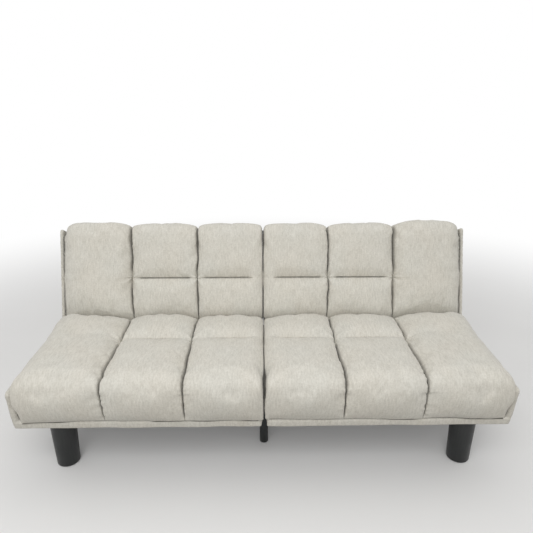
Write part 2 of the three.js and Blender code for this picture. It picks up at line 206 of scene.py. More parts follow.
# Across a half the cloth starts behind the border beside the middle gap, turns up out of the gap,
# runs over three columns, rolls over the outer border and tucks in behind it. Each row is a place
# and how far the cloth has dropped there from the top, at 0, to the border, at 1. The outer roll's
# last value is its share of the side's bulge.
tuck = [(0.0078, 1.00), (0.0082, 1.12), (0.0045, 1.26), (0, 1.45), (-0.004, 1.75)]
gapTurn = [
    (0.089, 0), (0.077, 0.003), (0.065, 0.010), (0.054, 0.020), (0.044, 0.034), (0.035, 0.052),
    (0.027, 0.075), (0.020, 0.105), (0.0145, 0.145), (0.0088, 0.20), (0.0058, 0.27), (0.0042, 0.36),
    (0.0032, 0.46), (0.0026, 0.57), (0.0022, 0.67), (-0.0020, 0.75), (-0.0070, 0.82), (-0.0070, 0.90),
]
outerRoll = [
    (-0.062, 0, 0), (-0.050, 0.004, 0), (-0.039, 0.022, 0), (-0.028, 0.055, 0), (-0.018, 0.105, 0.05),
    (-0.009, 0.170, 0.15), (-0.002, 0.25, 0.35), (0, 0.34, 0.62), (0, 0.44, 0.86), (0, 0.55, 1),
    (0, 0.66, 1), (0, 0.77, 0.92), (0, 0.88, 0.80),
]

mergeDistance = 0.00001  # two points nearer than this are one


def deselectAll():
    if bpy.context.object and bpy.context.object.mode != "OBJECT":
        bpy.ops.object.mode_set(mode="OBJECT")
    bpy.ops.object.select_all(action="DESELECT")


def makeActive(piece):
    deselectAll()
    piece.select_set(True)
    bpy.context.view_layer.objects.active = piece
    return piece


def applyModifier(piece, kind, **values):
    makeActive(piece)
    modifier = piece.modifiers.new(kind.title(), kind)
    for key, value in values.items():
        setattr(modifier, key, value)
    bpy.ops.object.modifier_apply(modifier=modifier.name)


def bevelEdges(piece, width, segments, sharpest):
    angle = math.radians(sharpest)
    applyModifier(piece, "BEVEL", width=width, segments=segments, limit_method="ANGLE", angle_limit=angle)


def readPoints(piece):
    points = np.empty(len(piece.data.vertices) * 3)
    piece.data.vertices.foreach_get("co", points)
    return points.reshape(-1, 3)


def writePoints(piece, points):
    piece.data.vertices.foreach_set("co", np.ascontiguousarray(points, dtype=np.float32).ravel())
    piece.data.update()


def readNormals(piece):
    normals = np.empty(len(piece.data.vertices) * 3)
    piece.data.vertices.foreach_get("normal", normals)
    return normals.reshape(-1, 3)


def readAttribute(piece, name):
    values = np.empty(len(piece.data.vertices))
    piece.data.attributes[name].data.foreach_get("value", values)
    return values


def setAttribute(piece, name, values):
    attribute = piece.data.attributes.new(name, "FLOAT", "POINT")
    attribute.data.foreach_set("value", np.ascontiguousarray(values, dtype=np.float32))


# A copy with its own mesh, moved to its place.
def copyShape(shape, name, place):
    piece = bpy.data.objects.new(name, shape.data.copy())
    piece.data.name = name
    bpy.context.scene.collection.objects.link(piece)
    writePoints(piece, readPoints(piece) + place)
    return piece


def inEditMode(piece, *steps):
    makeActive(piece)
    bpy.ops.object.mode_set(mode="EDIT")
    bpy.ops.mesh.select_all(action="SELECT")
    for step in steps:
        step()
    bpy.ops.object.mode_set(mode="OBJECT")


def faceOutwards():
    bpy.ops.mesh.normals_make_consistent(inside=False)


def smoothStep(low, high, values):
    share = np.clip((values - low) / (high - low), 0, 1)
    return share * share * (3 - 2 * share)


# Smooth noise from -1 to 1 on a lattice of random values, the same on every run. A place times a
# number is that many cells of the lattice to a metre.
def softNoise(u, v, seed):
    table = np.random.RandomState(seed).uniform(-1, 1, (64, 64))
    i, j = np.floor(u).astype(int), np.floor(v).astype(int)
    a, b = u - i, v - j
    a, b = a * a * (3 - 2 * a), b * b * (3 - 2 * b)
    near = table[i % 64, j % 64] * (1 - a) + table[(i + 1) % 64, j % 64] * a
    far = table[i % 64, (j + 1) % 64] * (1 - a) + table[(i + 1) % 64, (j + 1) % 64] * a
    return near * (1 - b) + far * b


# Takes points of a section from where it lies flat to where it stands in the sofa.
def placeSection(section, points, side):
    x, t, h = points.T
    if section["name"] == "seat":
        return np.column_stack([x * side, hingeY - t, hingeZ + h])
    y = hingeY + t * math.cos(recline) - h * math.sin(recline)
    z = hingeZ + t * math.sin(recline) + h * math.cos(recline)
    return np.column_stack([x * side, y, z])


def flattenSection(section, points, side):
    x, y, z = points.T
    if section["name"] == "seat":
        return np.column_stack([x * side, hingeY - y, z - hingeZ])
    t = (y - hingeY) * math.cos(recline) + (z - hingeZ) * math.sin(recline)
    h = -(y - hingeY) * math.sin(recline) + (z - hingeZ) * math.cos(recline)
    return np.column_stack([x * side, t, h])


# The free face's distance from the hinge, at a height.
def freeFace(section, height):
    share = (height + section["depth"]) / (cushion["borderRise"] + section["depth"])
    return section["length"] - section["faceLean"] + section["faceLean"] * share


# Points of a curve that leaves its start, and reaches its end, in line with its corner.
def curveThrough(start, corner, end, shares):
    s = shares[:, None]
    return start * (1 - s) ** 2 + 2 * corner * s * (1 - s) + end * s**2


# Shares along a stretch of cloth, closer together towards a seam at either end.
def clothShares(length, seamAtStart, seamAtEnd):
    near = list(cushion["nearSeam"])
    low = near[-1] if seamAtStart else 0
    high = length - near[-1] if seamAtEnd else length
    count = max(2, round((high - low) / cushion["cell"]))
    steps = [0, *np.linspace(low, high, count + 1), length]
    steps += near[:-1] if seamAtStart else []
    steps += [length - step for step in near[:-1]] if seamAtEnd else []
    return np.array(sorted(set(np.round(np.array(steps) / length, 5))))


# The cushion's outer line in side view, from its lower edge at the hinge round to the band and back
# inside. It gives the points, each point's share of the crown, and the row where each stretch ends.
def cushionLine(section, part):
    sizes = {**cushion[part], **section.get(part, {})}
    rise, bulge, lipGap = sizes["rise"], sizes["bulge"], sizes["lipGap"]
    slope = math.tan(math.radians(section["meetingAngle"]))
    length, distance, radius = section["length"], section["seamDistance"], section["rollRadius"]
    gap, lowest = cushion["endFaceGap"], cushion["lowest"]
    rear = rise + (section["rearRise"] if part == "crown" else 0)
    lipCorner = np.array([lipGap + rear * slope, rear])
    lipStart = np.array([max(gap, lipGap), (gap - cushion["crown"]["lipGap"]) / slope])
    lipFoot = lipStart + (lipCorner - lipStart) / 3
    lipEnd = lipCorner + [section["lipRound"], 0]
    seam = np.array([distance, rise])
    rollCorner = np.array([length + sizes["reach"], rise])
    rollStart = rollCorner - [radius, 0]
    bandLine = cushion["bandHeight"] - section["depth"]
    faceFoot = np.array([freeFace(section, bandLine) + bulge, bandLine])
    down = (faceFoot - rollCorner) / np.linalg.norm(faceFoot - rollCorner)
    rollEnd = rollCorner + down * radius
    footStart = faceFoot - down * cushion["footRound"]
    footEnd = faceFoot - [cushion["footRound"], -cushion["footLift"]]
    inside = freeFace(section, -section["depth"]) - cushion["bandThickness"] + cushion["bandLap"]
    start = np.array([gap, lowest])
    bandTop, bandFoot = np.array([inside, bandLine]), np.array([inside, lowest])
    rearCorner = (lipEnd + [distance, rear]) / 2
    faceCorner = (rollEnd + footStart) / 2 + [bulge, 0]
    insideCorner = np.array([inside, cushion["insideCorner"]])
    closingCorner = np.array([cushion["closingCorner"], lowest])
    shares = {name: np.linspace(0, 1, count) for name, count in cushion["linePoints"].items()}
    shares["seam"] = clothShares(distance - cushion["rearSpare"], False, True)
    shares["rollStart"] = clothShares(length - distance - cushion["frontSpare"], True, False)
    # Each stretch goes on from the last one's end: its name, its corner if it is curved, its end,
    # and the share of the crown at its start, at its end and with what power it changes.
    stretches = [
        ("lipStart", None, lipStart, (0, 0, 1)),
        ("lipFoot", None, lipFoot, (0.30, 0.80, 1)),
        ("lipEnd", lipCorner, lipEnd, (0.80, 1, 1)),
        ("seam", rearCorner, seam, (1, 1, 1)),
        ("rollStart", None, rollStart, (1, 1, 1)),
        ("rollEnd", rollCorner, rollEnd, (1, 1, 1)),
        ("footStart", faceCorner, footStart, (1, 0.5, 2)),
        ("footEnd", faceFoot, footEnd, (0.5, 0.2, 1)),
        ("bandTop", None, bandTop, (0, 0, 1)),
        ("bandFoot", insideCorner, bandFoot, (0, 0, 1)),
        ("closed", closingCorner, start, (0, 0, 1)),
    ]
    points, crownShares, rows = [], [], {}
    last = start
    for name, corner, end, (first, final, power) in stretches:
        corner = (last + end) / 2 if corner is None else corner
        points += list(curveThrough(last, corner, end, shares[name])[:-1])
        crownShares += list(first + (final - first) * shares[name][:-1] ** power)
        rows[name] = len(points)
        last = end
    return np.array(points), np.array(crownShares), SimpleNamespace(**rows)


# Places across a half. Each has its x, its distance from the middle of its column as a share, how
# far the cloth has dropped there, and whether a long seam holds it.
def stations(section):
    low, high = cushionLow.x, cushionHigh.x
    seams = [low + (high - low) * share for share in cushion["seamShares"]]
    gapFall, outerFall = section["gapFall"], section["outerFall"]
    gapWidth, outerWidth = seams[0] - low, high - seams[1]
    found = [(low - dx, gapFall, drop, False) for dx, drop in reversed(tuck)]
    for x, drop in reversed(gapTurn):
        found.append((x, gapFall * min(1, 1 - 2 * (x - low) / gapWidth), drop, False))
    edges = [low - outerRoll[0][0], *seams, high + outerRoll[0][0]]
    for column in range(3):
        start, end = edges[column], edges[column + 1]
        left = low if column == 0 else start
        right = high if column == 2 else end
        shares = clothShares(end - start, column > 0, column < 2)
        for share in shares[1:] if column < 2 else shares[1:-1]:
            x = start + (end - start) * share
            away = abs(2 * (x - left) / (right - left) - 1)
            # The columns at either end keep more of their height towards the border.
            if column == 0 and x < (left + right) / 2:
                away *= gapFall
            if column == 2 and x > (left + right) / 2:
                away *= outerFall
            found.append((x, min(1, away), 0.0, share == 1))
    for dx, drop, share in outerRoll:
        away = outerFall * (1 + 2 * dx / outerWidth)
        found.append((high + dx + share * section["sideBulge"], away, drop, False))
    found += [(high + dx, outerFall, drop, False) for dx, drop in tuck]
    return found, seams


def gridPiece(name, columns, rows):
    bpy.ops.mesh.primitive_grid_add(x_subdivisions=columns - 1, y_subdivisions=rows, size=1)
    piece = bpy.context.object
    piece.name = piece.data.name = name
    points = readPoints(piece)
    i = np.rint((points[:, 0] + 0.5) * (columns - 1)).astype(int)
    j = np.rint((points[:, 1] + 0.5) * rows).astype(int)
    return piece, i, j


# A cushion's grid. Each of its points knows its row along the section's line, its station across,
# and how near it is to what is sewn there.
def layOut(section, name):
    across, seams = stations(section)
    valley, crownShares, rows = cushionLine(section, "valley")
    crown, edge = cushionLine(section, "crown")[0], cushionLine(section, "edge")[0]
    piece, i, j = gridPiece("dressed_" + name, len(across) + 2, len(valley))
    row = j % len(valley)
    k = np.clip(i - 1, 0, len(across) - 1)
    columns = [np.array(values) for values in zip(*across)]
    station, fromMiddle, drop, isSeam = (values[k] for values in columns)
    grid = SimpleNamespace(row=row, station=station, fromMiddle=fromMiddle, drop=drop, isSeam=isSeam)
    grid.seams = seams
    grid.valley, grid.crown, grid.edge = valley[row], crown[row], edge[row]
    grid.crownShare = crownShares[row]
    grid.isFirst, grid.isLast = i == 0, i == len(across) + 1
    grid.isPole = grid.isFirst | grid.isLast
    grid.fromCross = grid.crown[:, 0] - section["seamDistance"]
    grid.fromSeam = np.min([np.abs(station - seam) for seam in seams], axis=0)
    grid.onTop = (row >= rows.lipEnd) & (row <= rows.rollStart)
    grid.crossed = (station < seams[1]) & grid.onTop
    fromSide = np.minimum(np.abs(station - cushionLow.x), grid.fromSeam)
    grid.nearSide = smoothStep(*cushion["sideFade"], fromSide)
    grid.dip = np.clip(1 - np.abs(grid.fromCross) / section["crossWidth"], 0, 1) ** cushion["crossPower"]
    grid.tack = np.exp(-((grid.fromCross / cushion["tackSpread"]) ** 2)) * grid.onTop
    # The cloth's own map, in metres: across the cushion, and along it from the hinge end.
    lengths = np.append(0, np.cumsum(np.linalg.norm(np.diff(crown, axis=0), axis=1)))
    grid.along = np.append(lengths, lengths[-1])[j]
    steps = np.hypot(np.diff(columns[0]), np.diff(columns[2]) * cushion["sideDrop"])
    grid.across = np.append(0, np.cumsum(steps))[k]
    corners = np.empty(len(piece.data.loops), dtype=int)
    piece.data.loops.foreach_get("vertex_index", corners)
    mapped = np.column_stack([grid.across[corners], grid.along[corners]])
    layer = piece.data.uv_layers.active
    layer.name = "cloth"
    layer.data.foreach_set("uv", np.ascontiguousarray(mapped, dtype=np.float32).ravel())
    return piece, grid, rows


# The lips of the two cushions meet over the hinge along a line that is never quite straight: where
# one leans away from it, the other leans after it by as much.
def lipSlope(section, side, x):
    turn = section["lipTurn"] * np.sin(2 * math.pi * (x / cushion["lipWave"] + cushion["lipShift"] * side))
    return np.tan(np.radians(section["meetingAngle"] + turn))


# Where each point stands in side view, between the lines of the valley, the crown and the border.
def drawLines(section, side, grid, rows):
    row, x, drop = grid.row, grid.station, grid.drop
    # Columns are flat on top and rounder where they roll over the front and in at the hinge.
    overFace = smoothStep(rows.rollEnd, rows.footStart, row)
    intoRoll = smoothStep(rows.rollStart - 4, rows.rollStart + 5, row)
    rounded = 1 - cushion["rollShare"] * (intoRoll - overFace)
    rounded = rounded * smoothStep(rows.lipFoot, rows.seam + 2, row)
    flatTop = (1 - grid.fromMiddle ** section["flatPower"]) ** cushion["flatRoot"]
    roundTop = (1 - grid.fromMiddle ** cushion["roundPower"]) ** cushion["roundRoot"]
    fullness = flatTop * rounded + roundTop * (1 - rounded)
    fullness = fullness * np.where(x > grid.seams[1], section["outerFullness"], 1)
    block = 1 - section["crossDepth"] * grid.dip * grid.crossed * grid.nearSide
    weight = (fullness * grid.crownShare * block)[:, None]
    line = grid.valley * (1 - weight) + grid.crown * weight
    tackAlong, tackAcross = cushion["tackReach"]
    fromTack = (grid.fromCross / tackAlong) ** 2 + (grid.fromSeam / tackAcross) ** 2
    line[:, 1] -= cushion["tackDip"] * np.exp(-fromTack) * grid.onTop
    # The outer line of each column bows out over the roll.
    edges = np.array([0, *grid.seams, cushionHigh.x])
    column = np.clip(np.searchsorted(edges, x) - 1, 0, 2)
    fromCentre = np.abs(2 * (x - edges[column]) / (edges[column + 1] - edges[column]) - 1)
    overRoll = smoothStep(rows.rollStart - 3, rows.rollStart + 5, row) * (1 - overFace)
    arch = section["arch"] * np.where(column == 2, 2.0, 1.0) * (1 - np.clip(fromCentre, 0, 1) ** 2)
    line[:, 0] += arch * overRoll
    # The rear corner by the middle gap is rounder than the gap's long edge.
    atRear = (row >= rows.lipStart) * (1 - smoothStep(rows.lipEnd - 2, rows.seam - 4, row))
    byGap = 1 - smoothStep(*cushion["cornerReach"], x)
    corner = section["rearCorner"] * atRear * byGap * (drop < 0.95)
    fallen = np.maximum(drop, np.minimum(drop + corner, 0.95))[:, None]
    line = line * (1 - fallen) + grid.edge * fallen
    nearLip = (row >= rows.lipStart) * (1 - smoothStep(rows.lipEnd, rows.seam - 3, row))
    leant = lipSlope(section, side, x) - math.tan(math.radians(section["meetingAngle"]))
    line[:, 0] += np.maximum(line[:, 1], 0) * leant * nearLip
    return line


# Where each point stands across the cushion. It also gives how far the seams wander there.
def spreadAcross(section, seed, grid, rows, line):
    row, drop = grid.row, grid.drop
    bodyX = np.clip(grid.station, cushionLow.x, cushionHigh.x)
    t, h = line.T
    # The full bulge is only there over the border; below its rim the cloth just meets its wall.
    pastHinge = np.maximum(smoothStep(*cushion["hingeReach"], t), smoothStep(*cushion["hingeRise"], h))
    above = smoothStep(*cushion["rimReach"], h) * pastHinge
    if section is seat:
        above = np.where(row >= rows.rollStart, smoothStep(*cushion["faceReach"], h), above)
    onFace = smoothStep(rows.rollStart + 4, rows.rollEnd, row) * (row <= rows.footEnd + 1)
    crease = cushion["creaseBulge"] * (1 - onFace) + section["faceCrease"] * onFace
    limit = crease + cushion["sideRoom"] * above
    # Towards the middle gap it goes round the end of the border's wall as well, down to the band.
    onEnd = (row >= rows.rollStart + 2) & (row <= rows.footEnd + 1)
    isGapEnd = onEnd & (drop <= 1) & (grid.station < cushion["gapEndWidth"])
    atGapEnd = cushion["sideRoom"] - cushion["gapEndFall"] * smoothStep(rows.rollEnd + 2, rows.footEnd, row)
    limit = np.where(isGapEnd, atGapEnd, limit)
    x = bodyX + np.clip(grid.station - bodyX, -limit, limit)
    # A seam is never quite straight, and the filled columns close over it.
    wander = np.zeros(len(x))
    for number, seam in enumerate(grid.seams):
        near = np.exp(-(((x - seam) / cushion["wanderWidth"]) ** 2))
        waves = softNoise(t * 17 + 3 * number, x * 0 + number, seed + 1)
        wander += waves * near * cushion["seamWander"]
        closing = cushion["closing"] * np.exp(-(((x - seam) / cushion["closingWidth"]) ** 2))
        x = x - closing * (x - seam) * (drop == 0)
    wander = wander * (grid.crownShare > 0)
    return x + wander, wander


# The cushion's foot runs unevenly over the band, and hangs lower at the outer end.
def footSag(section, label, x):
    seed = section["seed"] + (9 if label == "right" else 32)
    sag = softNoise(x * 6.5, x * 0 + 2, seed) - 0.4 + 0.35 * softNoise(x * 27, x * 0, seed + 1)
    return cushion["bandSag"] * sag - section["outerSag"][label] * smoothStep(*cushion["sagSpread"], x)


# How gathered the cloth is, from 0 to 1, which is also how much shade is painted into its colour:
# in the seams, beside the border, deep in the middle gap and along its foot, where shade falls.
def gathersAndShadeOf(section, grid, rows):
    row, drop = grid.row, grid.drop
    gathers = np.clip(1 - grid.fromSeam / cushion["gatherWidth"], 0, 1) * (drop < 0.2)
    gathers = np.maximum(gathers, smoothStep(0.70, 1.0, drop))
    gathers = np.maximum(gathers, smoothStep(0.33, 0.62, drop) * (grid.station < 0.05))
    atFoot = smoothStep(rows.footStart + 1, rows.footEnd - 1, row) * (row <= rows.bandFoot)
    gathers = np.maximum(gathers, atFoot) * (1 - 0.75 * grid.tack)
    # A thin painted dark line of shade along the cross seam, fading out beside the long seams.
    crossShadeLine = np.exp(-((grid.fromCross / (0.0014 + 0.0022 * grid.nearSide)) ** 2))
    return np.maximum(gathers, crossShadeLine * grid.crossed * grid.nearSide * section["crossShade"])


clothSettings = {
    "quality": 6,
    "mass": 0.25,
    "air_damping": 2,
    "tension_stiffness": 22,
    "compression_stiffness": 14,
    "shear_stiffness": 6,
    "bending_stiffness": 0.35,
    "shrink_min": -0.007,  # a little more cloth than the seams need
    "use_pressure": True,
    "uniform_pressure_force": 4.0,
    "vertex_group_mass": "pins",
}


def simulateCloth(piece, pins):
    group = piece.vertex_groups.new(name="pins")
    for level in np.unique(np.round(pins, 2)):
        if level > 0:
            group.add([int(i) for i in np.nonzero(np.round(pins, 2) == level)[0]], float(level), "REPLACE")
    cloth = piece.modifiers.new("Cloth", "CLOTH")
    for key, value in clothSettings.items():
        setattr(cloth.settings, key, value)
    cloth.settings.effector_weights.gravity = 0
    cloth.collision_settings.use_collision = False
    for number in range(1, cushion["frames"] + 1):
        bpy.context.scene.frame_set(number)
    makeActive(piece)
    bpy.ops.object.modifier_apply(modifier=cloth.name)
    bpy.context.scene.frame_set(1)
    piece.vertex_groups.clear()


# Lets the filling press the cloth out, each point by no more than the section's cap.
def fillCushion(piece, section, seams):
    start = readPoints(piece)
    simulateCloth(piece, readAttribute(piece, "pin"))
    moved = readPoints(piece) - start
    length = np.linalg.norm(moved, axis=1)
    allowed = section["cap"] * np.tanh(length / section["cap"])
    filled = start + moved * (allowed / np.maximum(length, 1e-9))[:, None]
    # Two columns press against each other over a seam, and neither crosses it.
    station, wander = readAttribute(piece, "station"), readAttribute(piece, "wander")
    gap = cushion["pressedGap"]
    for seam in seams:
        before, after = station < seam - 0.0001, station > seam + 0.0001
        filled[before, 0] = np.minimum(filled[before, 0], (seam + wander - gap)[before])
        filled[after, 0] = np.maximum(filled[after, 0], (seam + wander + gap)[after])
    writePoints(piece, filled)


# Draws the cloth down into the long seams and the cross seam, with puckers along the thread.
def pinchSeams(piece, section, seams, seed):
    points = readPoints(piece)
    normals = readNormals(piece)
    names = ("tack", "shown", "along", "dropped", "fromSeam")
    tack, shown, along, dropped, away = (readAttribute(piece, name) for name in names)
    x, t, h = points.T
    length, distance = section["length"], section["seamDistance"]
    groove = np.exp(-((away / cushion["seamWidth"]) ** 1.7))
    depth = cushion["seamDepth"] * (1 + 0.22 * softNoise(along * 24, x * 3, seed + 2)) * (1 - 0.6 * tack)
    roll = smoothStep(length - 0.11, length - 0.03, t)
    upper = smoothStep(length - 0.005, length + 0.03, t)
    pucker = softNoise(along * 105, x * 30, seed + 3) * np.exp(-away / 0.011) * (1 - groove)
    size = cushion["pucker"] + cushion["rollPucker"] * np.maximum(tack, roll * (1 - 0.5 * upper))
    crossAway = np.abs(t - distance)
    inner = (x < seams[1] - 0.003) * (h > 0.01)
    fade = smoothStep(0.016, 0.040, np.minimum(np.abs(x - cushionLow.x + 0.008), away))
    crossGroove = np.exp(-((crossAway / (0.0008 + 0.0010 * fade)) ** 1.7)) * inner * fade
    crossPucker = softNoise(x * 70, along * 24, seed + 4) * np.exp(-crossAway / 0.010) * inner * fade
    # Wrinkles run out from where the cross seam's end is tacked down.
    fromTack = np.hypot(t - distance, away)
    angle = np.arctan2(t - distance, away + 0.003)
    rays = np.sin(angle * 6 + softNoise(x * 11, along * 11, seed + 8) * 2)
    star = rays * np.exp(-fromTack / 0.024) * smoothStep(0.002, 0.010, fromTack) * (h > 0.01)
    move = -groove * depth + pucker * size + star * cushion["tackWrinkle"]
    move += crossPucker * cushion["crossPucker"] - crossGroove * section["crossGroove"]
    large = softNoise(x * 8, along * 6, seed + 5) + 0.5 * softNoise(x * 21, along * 14, seed + 6)
    gathers = softNoise(along * 82, x * 6, seed + 7) * smoothStep(0.45, 0.9, dropped)
    gathers = gathers * cushion["sideGather"] * (1 + roll)
    move = (move + large * cushion["unevenness"] * (1 - groove) + gathers) * shown
    # Over a seam the cloth goes straight down, or its two walls would be drawn apart.
    straight = normals * [0, 1, 1]
    straight /= np.maximum(np.linalg.norm(straight, axis=1), 0.2)[:, None]
    overSeam = np.exp(-((away / 0.022) ** 2))[:, None]
    ways = normals * (1 - overSeam) + straight * overSeam
    writePoints(piece, points + ways * move[:, None])


# Keeps a cushion on its own side of the plane where seat and back meet, and off the middle gap.
def keepClear(piece, section, side):
    points = readPoints(piece)
    x, t, h = points.T
    least = cushion["crown"]["lipGap"] + np.maximum(h, 0) * lipSlope(section, side, x)
    points[:, 1] = np.maximum(t, np.minimum(least, cushion["highestLip"]))
    # The two halves press against each other along a line that is never quite straight.
    wave = section["gapWave"] * softNoise(points[:, 1] * 13, t * 0, section["seed"])
    slit = section["gapHalf"] * (1 - smoothStep(0.66, 0.80, readAttribute(piece, "dropped")))
    leastX = cushion["leastX"] + slit + side * wave
    points[:, 0] = np.clip(x, leastX, borderHigh.x + cushion["sideOverhang"])
    writePoints(piece, points)


def makeCushion(section, label):
    name = section["name"] + "_cushion_" + label
    side = sides[label]
    seed = section["seed"] + (0 if side > 0 else 23)
    piece, grid, rows = layOut(section, name)
    row = grid.row
    line = drawLines(section, side, grid, rows)
    x, wander = spreadAcross(section, seed, grid, rows, line)
    aboveBand = line[:, 1] + section["depth"] - cushion["bandHeight"]
    atFoot = 1 - smoothStep(*cushion["footReach"], aboveBand)
    atFoot = atFoot * (row >= rows.rollEnd) * (row <= rows.bandTop)
    line[:, 1] += footSag(section, label, x) * atFoot

    flat = np.column_stack([x, line])
    flat[grid.isPole, 1:] = (section["length"] / 2, cushion["poleHeight"])
    flat[grid.isFirst, 0] = cushionLow.x + cushion["poleInset"]
    flat[grid.isLast, 0] = cushionHigh.x - cushion["poleInset"]
    isFree = (grid.crownShare > 0) & (grid.drop < 0.95) & ~grid.isPole
    wobble = softNoise(x * 34 + 5, line[:, 0] * 30 + 3 * side, seed)
    flat[:, 2] += cushion["wobble"] * wobble * isFree * (~grid.isSeam)
    writePoints(piece, flat)

    # The seams and all that is out of sight stay where they are while the cushion is filled.
    pins = np.where(grid.isSeam, 1.0, 0.0)
    onCross = np.abs(grid.fromCross) < cushion["nearSeam"][0] / 3
    pins[onCross & grid.crossed & (grid.nearSide > 0.5)] = 0.9
    pins[~isFree | (grid.crownShare < 0.35)] = 1
    fromHinge = smoothStep(rows.lipStart - 4, rows.lipFoot, row)
    fromFoot = 1 - smoothStep(rows.footStart - 1, rows.footStart, row)
    known = {
        # The gather values paint shade into the cloth's colour as well as raising its folds.
        "gather": gathersAndShadeOf(section, grid, rows),
        "crossGather": grid.dip**1.5 * grid.crossed * grid.nearSide,
        "shown": fromHinge * fromFoot * (~grid.isPole),
        "along": grid.along,
        "dropped": grid.drop * (~grid.isPole),
        "station": grid.station,
        "fromSeam": grid.fromSeam,
        "wander": wander,
        "pin": pins,
        "tack": grid.tack,
    }
    for word, values in known.items():
        setAttribute(piece, word, values)
    inEditMode(piece, lambda: bpy.ops.mesh.remove_doubles(threshold=mergeDistance), faceOutwards)
    fillCushion(piece, section, grid.seams)
    applyModifier(piece, "SUBSURF", levels=1, render_levels=1)
    pinchSeams(piece, section, grid.seams, seed)
    keepClear(piece, section, side)
    writePoints(piece, placeSection(section, readPoints(piece), side))
    inEditMode(piece, faceOutwards)
    bpy.ops.object.shade_smooth()
    for word in known.keys() - {"gather", "crossGather"}:
        piece.data.attributes.remove(piece.data.attributes[word])
    return piece, name


border = {
    "voxel": 0.0042,
    "rounding": 0.005,
    "wallPuff": 0.0030,
    "edgePuff": 0.0022,
    "panelReach": (0.004, 0.045),
    "gapPuff": 0.003,
    "crease": 0.0012,
    "innerWall": 0.0180,
    "outerWall": 0.8260,
    "wallReach": 0.003,
    "creaseReach": 0.0095,
    "creaseDepth": 0.0085,
    "recess": 0.0130,
    "recessReach": 0.020,
    "cornerCut": 0.0110,
    "cornerReach": 0.032,
    "gather": 0.0021,
    "gatherReach": 0.018,
    "waviness": 0.0012,
    "hingeRoom": (0.008, 0.042),
    "gapBulge": 0.0072,
    "bulgeReach": (0.011, 0.026),
    "leastX": 0.0014,
    "rimRiseReach": (-0.080, -0.030),
    "puffStart": (0.27, 0.47),
    "puffWall": (0.821, 0.839),
    # How wide the painted dark line of shade under the cushion's foot is, and how much wider it gets
    # outwards.
    "footShadeWidth": 0.0036,
    "footShadeGrowth": 0.0008,
    "fill": 0.9,
    "seed": 90,
}


# The border's wall as the frame has it, rounded and remeshed, ready to be pulled about.
def roughBorder(name):
    piece = bpy.data.objects.new("dressed_" + name, frame["nodes"][name].data.copy())
    bpy.context.scene.collection.objects.link(piece)
    piece.data.materials.clear()
    inEditMode(
        piece,
        lambda: bpy.ops.mesh.remove_doubles(threshold=mergeDistance),
        lambda: bpy.ops.mesh.dissolve_limited(angle_limit=math.radians(1)),
        faceOutwards,
    )
    bevelEdges(piece, border["rounding"], 3, 25)
    applyModifier(piece, "REMESH", mode="VOXEL", voxel_size=border["voxel"])
    applyModifier(piece, "SMOOTH", factor=0.5, iterations=2)
    return piece


